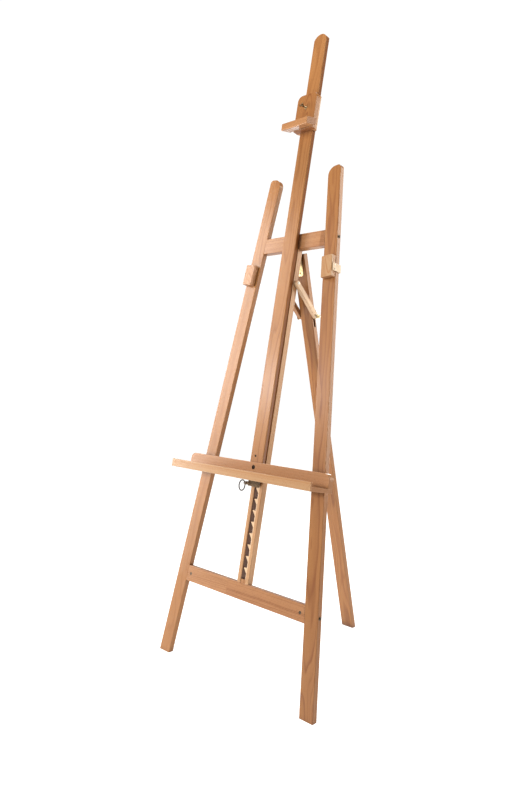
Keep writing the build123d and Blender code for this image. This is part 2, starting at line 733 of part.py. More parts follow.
def bracket_screws(gap=0.0):
    """Screws that hold the bracket up to the shelf."""
    low = MAST_FOOT - SHEET
    screws = []
    for x in (BRACKET_X[0] + BRACKET_SCREW_INSET, BRACKET_X[1] - BRACKET_SCREW_INSET):
        head = rod_z(SCREW_HEAD + gap, x, BRACKET_SCREW_Y, (low - 1.2, low))
        screws.append(head + rod_z(WOOD_SCREW + gap, x, BRACKET_SCREW_Y, (low - 0.5, low + 11)))
    return screws


def catch_pawl():
    """Sliding bar with a pawl that reaches back into the slot."""
    bar_z = (BRACKET_LOW + 2, MAST_FOOT - SHEET - 0.5)
    bar = block((PAWL_X[0] - BAR_LENGTH, PAWL_X[1]), BAR_Y, bar_z)
    pawl = block(PAWL_X, (BAR_Y[1] - 0.1, STOCK - 4), (PAWL_BOTTOM, PAWL_TOP))
    pull_rod = rod_x(ROD_RADIUS, (EYE_X + EYE - 1.5, PAWL_X[0] - BAR_LENGTH + 1), ROD_Y, ROD_Z)
    return bar + pawl + pull_rod


def catch_eye():
    """Flat eye at the end of the pull rod."""
    eye = rod_z(EYE, EYE_X, ROD_Y, (ROD_Z - 1.6, ROD_Z + 1.6))
    eye -= rod_z(RING_WIRE + EYE_ROOM, EYE_X, ROD_Y, (ROD_Z - 3, ROD_Z + 3))
    return eye - rod_x(ROD_RADIUS + FIT, (EYE_X + EYE - 1.6, 0), ROD_Y, ROD_Z)


def catch_spring():
    """Coil spring on the pull rod between the bracket and the bar."""
    start = BRACKET_X[0] + SHEET + 0.6
    end = PAWL_X[0] - BAR_LENGTH - 0.6
    coil = Helix(pitch=(end - start) / SPRING_TURNS, height=end - start, radius=SPRING_RADIUS)
    wire = sweep(Plane(coil @ 0, z_dir=coil % 0) * Circle(SPRING_WIRE), path=coil, is_frenet=True)
    return Pos(start, ROD_Y, ROD_Z) * Rot(0, 90, 0) * wire


def pull_ring():
    """Oval finger ring whose wire passes through the eye."""
    path = Plane.XZ * Ellipse(RING_WIDE, RING_TALL)
    wire = Pos(RING_WIDE, 0, 0) * Circle(RING_WIRE)
    ring = sweep(wire, path=path.wire())
    offset = RING_WIDE * sqrt(1 - (RING_DROP / RING_TALL) ** 2)
    return Pos(EYE_X - offset, ROD_Y, ROD_Z - RING_DROP) * ring


# ---- Canvas holder ----

PLATE = (MAST_FRONT - HOLDER_GAP - PLATE_THICK, MAST_FRONT - HOLDER_GAP)
CHEEK = (PLATE[1], PLATE[1] + CHEEK_DEPTH)
CHEEK_GAP = 0.45
CHEEK_SCREWS = (1800.0, 1880.0)
CHEEK_SCREW_X = 30.7
LEDGE_SCREWS = (-18.0, 18.0)
LEDGE_SCREW_Z = 1799.0
LEDGE_GROOVE_Y = (-47.0, -45.0)
LEDGE_GROOVE_TOP = 1788.5
LEDGE_DOWEL = 1.2           # radius of the hole in each end
LEDGE_DOWEL_AT = (-66.6, 1783.0)
WING_SCREW_HUB = 3.6
WING_SCREW_HUB_LENGTH = 8.0
WING_SCREW_TURN = 65.0
WING_SCREW_WING = 7.8       # tip of a wing from the axis
WING_FOOT = PLATE[0] - 12.8


def holder_outline():
    """Outline of the holder seen from the front."""
    height = HOLDER_TOP - HOLDER_BOTTOM
    outline = Pos(0, HOLDER_BOTTOM) * Rectangle(2 * HOLDER_HALF, height, align=(Align.CENTER, Align.MIN))
    return fillet(outline.vertices().group_by(Axis.Y)[-1], HOLDER_ROUND)


def holder_plate():
    """Front plate of the holder with rounded shoulders."""
    plate = upright(holder_outline(), PLATE)
    plate = fillet(plate.faces().sort_by(Axis.Y)[0].edges(), 1.2)
    plate -= holder_insert(FIT)
    for screw in cheek_screws(FIT) + ledge_screws(FIT):
        plate -= screw
    return plate


def holder_cheek():
    """Right cheek that grips the undercut side of the mast."""
    low = HOLDER_BOTTOM - 5
    side = upright(holder_outline(), CHEEK) & block((0, HOLDER_HALF), CHEEK, (low, HOLDER_TOP))
    bevel = [
        (HOLDER_HALF, CHEEK[1] - CHEEK_CHAMFER),
        (HOLDER_HALF + 1, CHEEK[1] + 1),
        (HOLDER_HALF - CHEEK_CHAMFER, CHEEK[1]),
    ]
    side -= Pos(0, 0, low) * extrude(make_face(Polyline(*bevel, close=True)), amount=HOLDER_TOP - low)
    side -= Pos(0, 0, low) * extrude(mast_section(CHEEK_GAP), amount=HOLDER_TOP - low)
    side -= block((0, MAST_BACK_WIDTH / 2 + CHEEK_GAP), (CHEEK[0] - 1, 1), (low, HOLDER_TOP))
    for screw in cheek_screws(FIT):
        side -= screw
    return side


def cheek_screws(gap=0.0):
    """Screws from the back of each cheek into the plate."""
    screws = []
    for side in (-1, 1):
        for z in CHEEK_SCREWS:
            x = side * CHEEK_SCREW_X
            head = rod_y(SCREW_HEAD + gap, x, (CHEEK[1] - 1.5, CHEEK[1]), z)
            screws.append(head + rod_y(WOOD_SCREW + gap, x, (PLATE[0] + 7, CHEEK[1] - 1), z))
    return screws


def holder_ledge():
    """Ledge that presses on the top of the canvas: it droops to the front."""
    back = PLATE[0]
    section = [
        (back, LEDGE_BOTTOM),
        (back, LEDGE_BOTTOM + LEDGE_THICK),
        (LEDGE_FRONT, LEDGE_BOTTOM + LEDGE_THICK - LEDGE_DROOP),
        (LEDGE_FRONT, LEDGE_BOTTOM - LEDGE_DROOP),
    ]
    left_end = Plane.YZ.offset(-LEDGE_HALF)
    ledge = extrude(left_end * make_face(Polyline(*section, close=True)), amount=2 * LEDGE_HALF)
    ledge = fillet(ledge.edges().filter_by(Axis.X).group_by(Axis.Y)[0], 2.5)
    ledge = chamfer(ledge.faces().filter_by(Axis.X).edges().filter_by(Axis.Z), 1.0)
    groove_z = (LEDGE_BOTTOM - LEDGE_DROOP, LEDGE_GROOVE_TOP)
    ledge -= block((-LEDGE_HALF - 1, LEDGE_HALF + 1), LEDGE_GROOVE_Y, groove_z)
    dowel_hole = rod_x(LEDGE_DOWEL, (LEDGE_HALF - 8, LEDGE_HALF + 1), *LEDGE_DOWEL_AT)
    for cut in [dowel_hole, mirrored(dowel_hole)] + ledge_screws(FIT):
        ledge -= cut
    return ledge


def ledge_screws(gap=0.0):
    """Screws from the back of the plate into the ledge."""
    screws = []
    for x in LEDGE_SCREWS:
        head_back = PLATE[1] + 1 if gap else PLATE[1] - 6
        head = rod_y(SCREW_HEAD + gap, x, (PLATE[1] - 8, head_back), LEDGE_SCREW_Z)
        screws.append(head + rod_y(WOOD_SCREW + gap, x, (PLATE[0] - 14, PLATE[1] - 7), LEDGE_SCREW_Z))
    return screws


def holder_insert(gap=0.0):
    """Threaded sleeve for the wing screw."""
    if gap:
        return rod_y(BARREL + gap, 0, (PLATE[0] - 2, PLATE[1] + 1), WING_HEIGHT)
    sleeve = rod_y(BARREL, 0, (PLATE[0] - 1.2, PLATE[1] - 2), WING_HEIGHT)
    return sleeve - rod_y(M6 + FIT, 0, (-THROUGH, THROUGH), WING_HEIGHT)


def holder_wing_screw():
    """Wing screw that clamps the holder to the mast."""
    hub_front = WING_FOOT - WING_SCREW_HUB_LENGTH
    shank = rod_y(M6, 0, (hub_front + 2, PLATE[1] - 0.3), WING_HEIGHT)
    hub = rod_y(WING_SCREW_HUB, 0, (hub_front, WING_FOOT), WING_HEIGHT)
    wings = wing_blade(1, WING_SCREW_WING) + wing_blade(-1, WING_SCREW_WING)
    wings = Rot(0, WING_SCREW_TURN, 0) * Rot(0, 0, -90) * wings
    return shank + hub + Pos(0, WING_FOOT, WING_HEIGHT) * wings


# ---- Side pads ----

def pad_layer(front, back):
    """One board of a side pad, in the line of the leg."""
    board = block((PAD_INNER, PAD_OUTER), (front, back), (PAD_BOTTOM, PAD_BOTTOM + PAD_HEIGHT))
    board = chamfer(board.edges(), 0.9)
    for screw in pad_screws(FIT):
        board -= screw
    return board


PAD_MIDDLE = -PAD_GAP - PAD_LAYER
PAD_FRONT = -PAD_GAP - 2 * PAD_LAYER
CLIP_LOW = PAD_BOTTOM + CLIP_RISE
CLIP_OUT = LEG_WIDTH / 2 + CLIP_GAP + CLIP_THICK
PAD_SCREW_INSET = 12.0
CLIP_SCREW_INSET = 6.0
CLIP_SCREW = 1.5            # shank radius
CLIP_SCREW_HEAD = 3.0


def pad_clip():
    """Clip from the side of the pad round the outer edge of the leg to its back."""
    z = (CLIP_LOW, CLIP_LOW + CLIP_HEIGHT)
    back = STOCK + CLIP_GAP
    clip = block((PAD_OUTER, CLIP_OUT), (PAD_FRONT + 5, -PAD_GAP - 0.4), z)
    clip += block((CLIP_OUT - CLIP_THICK, CLIP_OUT), (PAD_FRONT + 5, back + CLIP_THICK), z)
    clip += block((LEG_WIDTH / 2 - CLIP_HOOK, CLIP_OUT), (back, back + CLIP_THICK), z)
    for screw in clip_screws(FIT):
        clip -= screw
    return clip


def pad_screws(gap=0.0):
    """Screws from the back board into the front board of a pad."""
    screws = []
    for up in (PAD_SCREW_INSET, PAD_HEIGHT - PAD_SCREW_INSET):
        z = PAD_BOTTOM + up
        head_back = 1 if gap else -PAD_GAP - 0.6
        head = rod_y(SCREW_HEAD + gap, 0, (-PAD_GAP - 2.4, head_back), z)
        screws.append(head + rod_y(WOOD_SCREW + gap, 0, (PAD_FRONT + 4, -PAD_GAP - 2), z))
    return screws


def clip_screws(gap=0.0):
    """Screws from the clip sideways into the front board."""
    screws = []
    for up in (CLIP_SCREW_INSET, CLIP_HEIGHT - CLIP_SCREW_INSET):
        z = CLIP_LOW + up
        y = PAD_MIDDLE + 3.5
        head = rod_x(CLIP_SCREW_HEAD + gap, (CLIP_OUT, CLIP_OUT + 1.2), y, z)
        screws.append(head + rod_x(CLIP_SCREW + gap, (PAD_OUTER - 9, CLIP_OUT + 0.5), y, z))
    return screws


# ---- Parts ----

def save(name, place, shapes, finish=None):
    """Write one node, made of one solid or of a group of separate solids."""
    group = shapes if isinstance(shapes, list) else [shapes]
    placed = [place(shape) for shape in group]
    if finish:
        placed = [finish(shape) for shape in placed]
    solids = [solid for shape in placed for solid in shape.solids()]
    node = solids[0] if len(solids) == 1 else Compound(children=solids)
    export_step(node, f"parts/{name}.step")


def write_front_frame():
    right_leg = front_leg()
    save("right_leg", in_frame, right_leg, above_floor)
    save("left_leg", in_frame, mirrored(right_leg), above_floor)
    lower_bar = crossbar(LOWER_BAR, (0, STOCK), LOWER_BARREL_HOLE, post_screws(FIT))
    upper_screws = post_screws(FIT) + hinge_upper_screws(FIT)
    upper_depth = (0, UPPER_BAR_BACK)
    upper_bar = crossbar(UPPER_BAR, upper_depth, UPPER_BARREL_HOLE, upper_screws)
    save("lower_crossbar", in_frame, lower_bar)
    save("upper_crossbar", in_frame, upper_bar)
    save("crossbar_bolts", in_frame, both_sides([bar_bolt(z) for z in BAR_BOLTS]))
    barrels = [barrel_nut(BAR_BOLTS[0], LOWER_BARREL), barrel_nut(BAR_BOLTS[1], UPPER_BARREL)]
    save("barrel_nuts", in_frame, both_sides(barrels))
    save("post_left_rail", in_frame, post_rail((-POST_HALF, SLOT_LEFT)))
    save("post_right_rail", in_frame, post_rail((RACK_BACK, POST_HALF)))
    save("ratchet_rack", in_frame, ratchet_rack())
    save("post_foot_block", in_frame, slot_block((POST_SPAN[0], POST_SPAN[0] + FOOT_BLOCK)))
    save("post_top_block", in_frame, slot_block((POST_SPAN[1] - TOP_BLOCK, POST_SPAN[1])))
    save("post_screws", in_frame, post_screws())
    save("brace_pivot_bolt", in_frame, brace_pivot())
    save("hinge_upper_leaf", in_frame, hinge_upper_leaf())
    save("hinge_upper_screws", in_frame, hinge_upper_screws())
    save("hinge_pin", in_frame, hinge_pin())


def write_mast_and_tray():
    save("mast", in_frame, mast())
    save("tray_back_board", in_frame, tray_back_board())
    save("tray_shelf", in_frame, tray_shelf())
    save("tray_lip", in_frame, tray_lip())
    save("tray_bolt", in_frame, tray_bolt())
    save("tray_bolt_nut", in_frame, tray_bolt_nut())
    save("tray_screws", in_frame, tray_screws())
    save("keeper_bolts", in_frame, keeper_bolts())
    save("keeper_plate", in_frame, keeper_plate())
    save("keeper_nuts", in_frame, keeper_nuts())
    save("catch_bracket", in_frame, catch_bracket())
    save("catch_bracket_screws", in_frame, bracket_screws())
    save("catch_pawl", in_frame, catch_pawl())
    save("catch_eye", in_frame, catch_eye())
    save("catch_spring", in_frame, catch_spring())
    save("pull_ring", in_frame, pull_ring())


def write_holder():
    cheek = holder_cheek()
    save("holder_plate", in_frame, holder_plate())
    save("holder_right_cheek", in_frame, cheek)
    save("holder_left_cheek", in_frame, mirrored(cheek))
    save("holder_cheek_screws", in_frame, cheek_screws())
    save("holder_ledge", in_frame, holder_ledge())
    save("holder_ledge_screws", in_frame, ledge_screws())
    save("holder_insert", in_frame, holder_insert())
    save("holder_wing_screw", in_frame, holder_wing_screw())


def write_pads():
    pieces = {
        "pad_front": [pad_layer(PAD_FRONT, PAD_MIDDLE)],
        "pad_back": [pad_layer(PAD_MIDDLE, -PAD_GAP) - clip_screws(FIT)[0] - clip_screws(FIT)[1]],
        "pad_clip": [pad_clip()],
        "pad_screws": pad_screws() + clip_screws(),
    }
    for name, shapes in pieces.items():
        on_leg = [on_right_leg(shape) for shape in shapes]
        save(f"right_{name}", in_frame, on_leg)
        save(f"left_{name}", in_frame, [mirrored(shape) for shape in on_leg])


def write_rear_leg_and_brace():
    arm = brace_arm()
    save("rear_leg", in_rear_leg, rear_leg(), above_floor)
    save("hinge_lower_leaf", in_rear_leg, hinge_lower_leaf())
    save("hinge_lower_screws", in_rear_leg, hinge_lower_screws())
    save("brace_right_arm", in_brace, arm)
    save("brace_left_arm", in_brace, mirrored(arm))
    save("brace_slot_bolt", in_brace, slot_bolt())
    save("brace_washers", in_brace, slot_washers())
    save("brace_wing_nut", in_brace, brace_wing_nut())


os.makedirs("parts", exist_ok=True)
write_front_frame()
write_mast_and_tray()
write_holder()
write_pads()
write_rear_leg_and_brace()
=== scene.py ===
import math
import random

import bmesh
import bpy
from mathutils import Matrix, Vector
from mathutils.geometry import convex_hull_2d

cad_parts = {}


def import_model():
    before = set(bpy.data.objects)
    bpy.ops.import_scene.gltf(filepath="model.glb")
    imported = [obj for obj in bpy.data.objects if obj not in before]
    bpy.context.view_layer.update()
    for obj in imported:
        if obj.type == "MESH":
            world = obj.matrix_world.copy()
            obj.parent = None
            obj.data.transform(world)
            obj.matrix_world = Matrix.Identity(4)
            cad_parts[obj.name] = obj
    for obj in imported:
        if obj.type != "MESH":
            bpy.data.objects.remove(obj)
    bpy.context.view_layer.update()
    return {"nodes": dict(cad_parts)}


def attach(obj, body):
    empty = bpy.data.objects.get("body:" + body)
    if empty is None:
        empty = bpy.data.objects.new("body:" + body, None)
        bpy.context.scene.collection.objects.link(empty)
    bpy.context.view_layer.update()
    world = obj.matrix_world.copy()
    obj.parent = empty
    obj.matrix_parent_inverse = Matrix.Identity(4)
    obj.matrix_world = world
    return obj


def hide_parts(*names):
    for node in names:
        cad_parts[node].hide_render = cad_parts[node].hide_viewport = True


# A single-mast studio easel in oiled beech. The CAD nodes keep their shapes and get
# procedural materials; screws, bolts, wing nut and wing screw are built here in detail.

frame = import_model()
nodes = frame["nodes"]
MM = 0.001


# ---- Where things are ----

LEAN = math.radians(12.33)
REAR_SWING = math.radians(11.86)
HALF_FOOTPRINT = 0.3117743
SPLAY = math.atan((694.0 - 307.0) / 2 / 1648.0)
FOOT_CENTRE = 0.347 - 0.025 / math.cos(SPLAY)
HINGE = (25.0, 1386.0)
BRACE_PIVOT = (9.0, 1276.0)
BRACE_LENGTH = 139.0


def leaned(y, z):
    """A point of the front frame as it stands, in metres."""
    return (
        (y * math.cos(LEAN) + z * math.sin(LEAN)) * MM - HALF_FOOTPRINT,
        (z * math.cos(LEAN) - y * math.sin(LEAN)) * MM,
    )


CENTRED = Matrix.Translation((0, -HALF_FOOTPRINT, 0))
FRAME = CENTRED @ Matrix.Rotation(-LEAN, 4, "X")
RIGHT_LEG = FRAME @ Matrix.Translation((FOOT_CENTRE, 0, 0)) @ Matrix.Rotation(-SPLAY, 4, "Y")
LEFT_LEG = FRAME @ Matrix.Translation((-FOOT_CENTRE, 0, 0)) @ Matrix.Rotation(SPLAY, 4, "Y")
REAR = Matrix.Translation((0, *leaned(*HINGE))) @ Matrix.Rotation(REAR_SWING, 4, "X")
BRACE_SWING = math.radians(42.18)
BRACE = Matrix.Translation((0, *leaned(*BRACE_PIVOT))) @ Matrix.Rotation(BRACE_SWING, 4, "X")


# ---- Node graphs ----

class Graph:
    """A node tree with short ways to add and join nodes."""

    def __init__(self, tree):
        self.tree = tree

    def put(self, socket, value):
        if isinstance(value, bpy.types.NodeSocket):
            self.tree.links.new(value, socket)
        elif value is not None:
            socket.default_value = value

    def add(self, kind, values=(), **settings):
        node = self.tree.nodes.new("ShaderNode" + kind)
        for key, value in settings.items():
            setattr(node, key, value)
        for key, value in dict(values).items():
            self.put(node.inputs[key], value)
        return node

    def math(self, operation, *values, clamp=False):
        node = self.add("Math", enumerate(values), operation=operation, use_clamp=clamp)
        return node.outputs[0]

    def vector(self, operation, *values):
        node = self.add("VectorMath", enumerate(values), operation=operation)
        return node.outputs["Value" if operation in ("LENGTH", "DOT_PRODUCT") else "Vector"]

    def scaled(self, vector, factors):
        return self.vector("MULTIPLY", vector, factors)

    def noise(self, vector, detail=2.0, roughness=0.5, colour=False):
        node = self.add("TexNoise", {"Vector": vector, "Scale": 1.0, "Detail": detail,
                                     "Roughness": roughness})
        return node.outputs["Color" if colour else "Fac"]

    def step(self, value, low, high, clamp_to=(0.0, 1.0)):
        node = self.add("MapRange", {"Value": value, "From Min": low, "From Max": high,
                                     "To Min": clamp_to[0], "To Max": clamp_to[1]},
                        interpolation_type="SMOOTHSTEP")
        return node.outputs["Result"]

    def ramp(self, value, stops):
        node = self.add("ValToRGB", {"Fac": value})
        elements = node.color_ramp.elements
        while len(elements) < len(stops):
            elements.new(0.5)
        for element, (at, level) in zip(elements, stops):
            element.position = at
            element.color = (level, level, level, 1)
        return node.outputs["Color"]

    def mix(self, factor, a, b, blend="MIX"):
        node = self.add("Mix", data_type="RGBA", blend_type=blend)
        self.put(node.inputs["Factor"], factor)
        for socket, value in zip([s for s in node.inputs if s.type == "RGBA"], (a, b)):
            self.put(socket, value)
        return [s for s in node.outputs if s.type == "RGBA"][0]

    def split(self, vector):
        return self.add("SeparateXYZ", {0: vector}).outputs

    def join(self, x, y, z):
        return self.add("CombineXYZ", {0: x, 1: y, 2: z}).outputs[0]

    def edges(self, radius):
        """0 on a flat face, towards 1 on an outer or inner edge."""
        rounded = self.add("Bevel", {"Radius": radius}, samples=4).outputs[0]
        normal = self.add("NewGeometry").outputs["Normal"]
        return self.math("SUBTRACT", 1.0, self.vector("DOT_PRODUCT", rounded, normal), clamp=True)


def new_group(name, sockets_in, sockets_out):
    tree = bpy.data.node_groups.new(name, "ShaderNodeTree")
    for label, kind in sockets_in:
        tree.interface.new_socket(name=label, in_out="INPUT", socket_type="NodeSocket" + kind)
    for label, kind in sockets_out:
        tree.interface.new_socket(name=label, in_out="OUTPUT", socket_type="NodeSocket" + kind)
    inputs = tree.nodes.new("NodeGroupInput").outputs
    outputs = tree.nodes.new("NodeGroupOutput").inputs
    return Graph(tree), inputs, outputs


def beech_group():
    """Beech cut from a log: rings round a heart line, rays, fibres and end grain. Millimetres."""
    g, given, result = new_group(
        "beech",
        [("Board", "Vector"), ("Facing", "Vector"), ("Heart", "Vector"), ("Pitch", "Float"),
         ("Light", "Color"), ("Dark", "Color"), ("Ray", "Color")],
        [("Colour", "Color"), ("Roughness", "Float"), ("Height", "Float")],
    )
    board = given["Board"]
    wander = g.noise(g.scaled(board, (0.0028, 0.016, 0.016)), detail=2, colour=True)
    wander = g.scaled(g.vector("SUBTRACT", wander, (0.5, 0.5, 0.5)), (0.0, 16.0, 16.0))
    warped = g.split(g.vector("ADD", board, wander))
    heart = g.split(given["Heart"])
    across = g.math("SUBTRACT", warped[1], heart[1])
    through = g.math("SUBTRACT", warped[2], heart[2])
    through = g.math("ADD", through, g.math("MULTIPLY", warped[0], heart[0]))
    radius = g.vector("LENGTH", g.join(0.0, across, through))
    turns = g.math("DIVIDE", radius, given["Pitch"])
    uneven = g.noise(g.join(g.math("MULTIPLY", radius, 0.11), 0.0, 0.0), detail=2)
    turns = g.math("ADD", turns, g.math("MULTIPLY", uneven, 2.6))
    ring = g.ramp(g.math("FRACT", turns), [(0.0, 0.05), (0.5, 0.2), (0.86, 1.0), (0.97, 0.35), (1.0, 0.05)])
    strength = g.add("TexWhiteNoise", {"W": g.math("FLOOR", turns)}, noise_dimensions="1D").outputs["Value"]
    ring = g.math("MULTIPLY", ring, g.math("MULTIPLY_ADD", strength, 0.75, 0.25))

    fibre = g.noise(g.scaled(board, (0.012, 0.85, 0.85)), detail=4, roughness=0.65)
    broad = g.noise(g.scaled(board, (0.0011, 0.045, 0.045)), detail=2)
    patch = g.noise(g.scaled(board, (0.006, 0.03, 0.03)), detail=2)

    angle = g.math("MULTIPLY", g.math("ARCTAN2", through, across), 85.0)
    cells = g.join(g.math("MULTIPLY", warped[0], 0.36), g.math("MULTIPLY", radius, 0.2),
                   g.math("MULTIPLY", angle, 1.5))
    rays = g.add("TexVoronoi", {"Vector": cells, "Scale": 1.0})
    ray = g.step(rays.outputs["Distance"], 0.46, 0.2)
    keep = g.step(g.split(rays.outputs["Color"])[0], 0.35, 0.75)
    ray = g.math("MULTIPLY", ray, keep)
    pores = g.noise(g.scaled(board, (0.28, 4.2, 4.2)), detail=1)

    tone = g.math("MULTIPLY_ADD", ring, 1.5, -0.12)
    tone = g.math("ADD", tone, g.math("MULTIPLY_ADD", fibre, 1.1, -0.55))
    tone = g.math("ADD", tone, g.math("MULTIPLY_ADD", broad, 1.3, -0.65))
    tone = g.math("ADD", tone, g.math("MULTIPLY_ADD", patch, 0.5, -0.25), clamp=True)
    colour = g.mix(tone, given["Light"], given["Dark"])
    colour = g.mix(g.math("MULTIPLY", ray, 0.42), colour, given["Ray"])

    end = g.step(g.math("ABSOLUTE", g.split(given["Facing"])[0]), 0.6, 0.85)
    ends = g.mix(0.5, given["Dark"], g.mix(ring, (0.72, 0.6, 0.5, 1), (0.5, 0.39, 0.3, 1)), "MULTIPLY")
    colour = g.mix(g.math("MULTIPLY", end, 0.72), colour, ends)

    rub = g.noise(g.scaled(board, (0.02, 0.09, 0.09)), detail=3)
    wear = g.math("MULTIPLY", g.step(g.edges(2.6 * MM), 0.02, 0.2), g.step(rub, 0.36, 0.62))
    colour = g.mix(g.math("MULTIPLY", wear, 0.3), colour, g.mix(0.55, given["Light"], (0.9, 0.62, 0.4, 1)))

    rough = g.math("MULTIPLY_ADD", fibre, 0.16, 0.24)
    rough = g.math("ADD", rough, g.math("MULTIPLY", end, 0.18))
    rough = g.math("SUBTRACT", rough, g.math("MULTIPLY", wear, 0.07))
    height = g.math("MULTIPLY_ADD", pores, 0.5, g.math("MULTIPLY", ring, 0.22))
    height = g.math("ADD", height, g.math("MULTIPLY", ray, 0.2))
    for label, value in (("Colour", colour), ("Roughness", rough), ("Height", height)):
        g.put(result[label], value)
    return g.tree


BEECH = beech_group()
AXES = {"x": 0, "y": 1, "z": 2}


def extent(node, turn):
    """Limits of a node's vertices in turned axes, in millimetres."""
    points = [turn @ (v.co / MM) for v in nodes[node].data.vertices]
    low = Vector([min(p[i] for p in points) for i in range(3)])
    high = Vector([max(p[i] for p in points) for i in range(3)])
    return low, high


def shaded(name, build):
    """A material whose surface is a Principled shader filled in by build."""
    material = bpy.data.materials.new(name)
    material.use_nodes = True
    tree = material.node_tree
    tree.nodes.clear()
    g = Graph(tree)
    shader = g.add("BsdfPrincipled")
    output = g.add("OutputMaterial")
    g.put(output.inputs["Surface"], shader.outputs[0])
    build(g, shader.inputs)
    return material


def bumped(g, height, strength, distance):
    node = g.add("Bump", {"Height": height, "Strength": strength, "Distance": distance})
    return node.outputs["Normal"]


# Painted shade: within this distance of other surfaces, in slots, crevices and where parts meet, the wood is
# tinted darker by ambient occlusion.
CREVICE = 48 * MM
CREVICE_SHADE_TINT = (0.2, 0.1, 0.055, 1)


def beech(node, place, grain, seed, light, dark, heart, pitch=2.6, tilt=0.006, joint=None, sides=None,
          slot=None, dirt_and_shade=1.0):
    """Gives a CAD node a beech board with its grain along one axis of its own frame.

    grain names the axes of the board: along the grain, across its wide face, through it.
    heart is the log's centre from the middle of the board, across and through, in mm.
    joint is where the board turns to a second tint with shifted grain, in mm from the middle, and that tint.
    sides is a painted shade, a darker tint of the faces across the board, slot a painted shade on its
    inner face, where the slot lies in shade, and the last argument how dark the painted shade in its
    crevices is."""
    order = [AXES[letter] for letter in grain]
    turn = Matrix([place.to_3x3().col[i] for i in order])
    low, high = extent(node, turn)
    middle = (low + high) / 2
    shift = random.Random(seed)
    offset = Vector((shift.uniform(-900, 900), 0, 0)) - middle

    def build(g, inputs):
        coords = g.add("TexCoord")
        angles = turn.to_euler("XYZ")
        board = g.add("Mapping", {"Vector": coords.outputs["Object"], "Location": offset, "Rotation": angles,
                                  "Scale": (1 / MM, 1 / MM, 1 / MM)}).outputs[0]
        facing = g.add("Mapping", {"Vector": coords.outputs["Normal"], "Rotation": angles},
                       vector_type="NORMAL").outputs[0]
        side = line = None
        if joint is not None:
            along = g.math("SUBTRACT", g.split(board)[0], offset[0] + middle[0] + joint[0])
            side = g.math("GREATER_THAN", along, 0.0)
            line = g.step(g.math("ABSOLUTE", along), 0.7, 0.2)
            board = g.vector("ADD", board, g.scaled(g.join(side, side, side), (230.0, 17.0, 3.0)))
        group = g.add("Group", node_tree=BEECH)
        ray = tuple(c * 0.62 for c in dark[:3]) + (1,)
        for label, value in (("Board", board), ("Facing", facing), ("Heart", (tilt, heart[0], heart[1])),
                             ("Pitch", pitch), ("Light", (*light, 1)), ("Dark", (*dark, 1)), ("Ray", ray)):
            g.put(group.inputs[label], value)
        colour = group.outputs["Colour"]
        if joint is not None:
            colour = g.mix(side, colour, (*joint[1], 1), "MULTIPLY")
            colour = g.mix(g.math("MULTIPLY", line, 0.55), colour, (0.2, 0.09, 0.04, 1))
        if sides is not None:
            # Painted shade: the faces across the board, its sides, are tinted darker.
            turned = g.step(g.math("ABSOLUTE", g.split(facing)[1]), 0.8, 0.9)
            colour = g.mix(turned, colour, (*sides, 1), "MULTIPLY")
        if slot is not None:
            # Painted shade: the inner face of the slot is darkened, broken up by noise.
            inner = g.step(g.split(facing)[2], 0.8, 0.9)
            shade_breakup = g.noise(g.scaled(board, (0.02, 0.2, 0.2)), detail=3)
            slot_shade = g.math("MULTIPLY", inner, g.step(shade_breakup, 0.1, 0.5))
            colour = g.mix(slot_shade, colour, (*slot, 1), "MULTIPLY")
        # Painted shade: ambient occlusion darkens the wood in crevices, slots and where parts meet.
        open_sky = g.add("AmbientOcclusion", {"Distance": CREVICE}, samples=6).outputs["AO"]
        crevice_shade = g.step(open_sky, 0.62, 0.26)
        colour = g.mix(g.math("MULTIPLY", crevice_shade, dirt_and_shade), colour, CREVICE_SHADE_TINT, "MULTIPLY")
        g.put(inputs["Base Color"], colour)
        g.put(inputs["Roughness"], group.outputs["Roughness"])
        g.put(inputs["Normal"], bumped(g, group.outputs["Height"], 0.35, 0.12 * MM))
        inputs["Coat Weight"].default_value = 0.3
        inputs["Coat Roughness"].default_value = 0.22
        inputs["Specular IOR Level"].default_value = 0.16

    material = shaded("beech_" + node, build)
    nodes[node].data.materials.clear()
    nodes[node].data.materials.append(material)


def metal(name, colour, dark, roughness, wear_colour, wear=0.5, dirt_and_shade=0.35, metallic=1.0, scratch=1.0):
    """A plated or lacquered metal: cloudy tone, fine scratches, dark spots and bright worn edges."""
    def build(g, inputs):
        where = g.scaled(g.add("TexCoord").outputs["Object"], (1 / MM, 1 / MM, 1 / MM))
        cloud = g.noise(g.scaled(where, (0.22, 0.22, 0.22)), detail=4, roughness=0.6)
        fine = g.noise(g.scaled(where, (0.5, 6.0, 1.1)), detail=3, roughness=0.7)
        spots = g.add("TexVoronoi", {"Vector": g.scaled(where, (0.9, 0.9, 0.9)), "Scale": 1.0})
        spots = g.step(spots.outputs["Distance"], 0.2, 0.08)
        tone = g.mix(g.step(cloud, 0.35, 0.7), (*colour, 1), (*dark, 1))
        tone = g.mix(g.math("MULTIPLY", spots, dirt_and_shade), tone, tuple(c * 0.35 for c in dark) + (1,))
        edge = g.math("MULTIPLY", g.step(g.edges(0.5 * MM), 0.03, 0.25), g.step(cloud, 0.3, 0.55))
        tone = g.mix(g.math("MULTIPLY", edge, wear), tone, (*wear_colour, 1))
        rough = g.math("MULTIPLY_ADD", fine, 0.22 * scratch, roughness - 0.11 * scratch)
        rough = g.math("ADD", rough, g.math("MULTIPLY", spots, 0.15), clamp=True)
        g.put(inputs["Base Color"], tone)
        g.put(inputs["Roughness"], rough)
        g.put(inputs["Normal"], bumped(g, g.math("ADD", fine, cloud), 0.18 * scratch, 0.05 * MM))
        inputs["Metallic"].default_value = metallic
        inputs["Specular IOR Level"].default_value = 0.5 if metallic > 0.7 else 0.12
    return shaded(name, build)


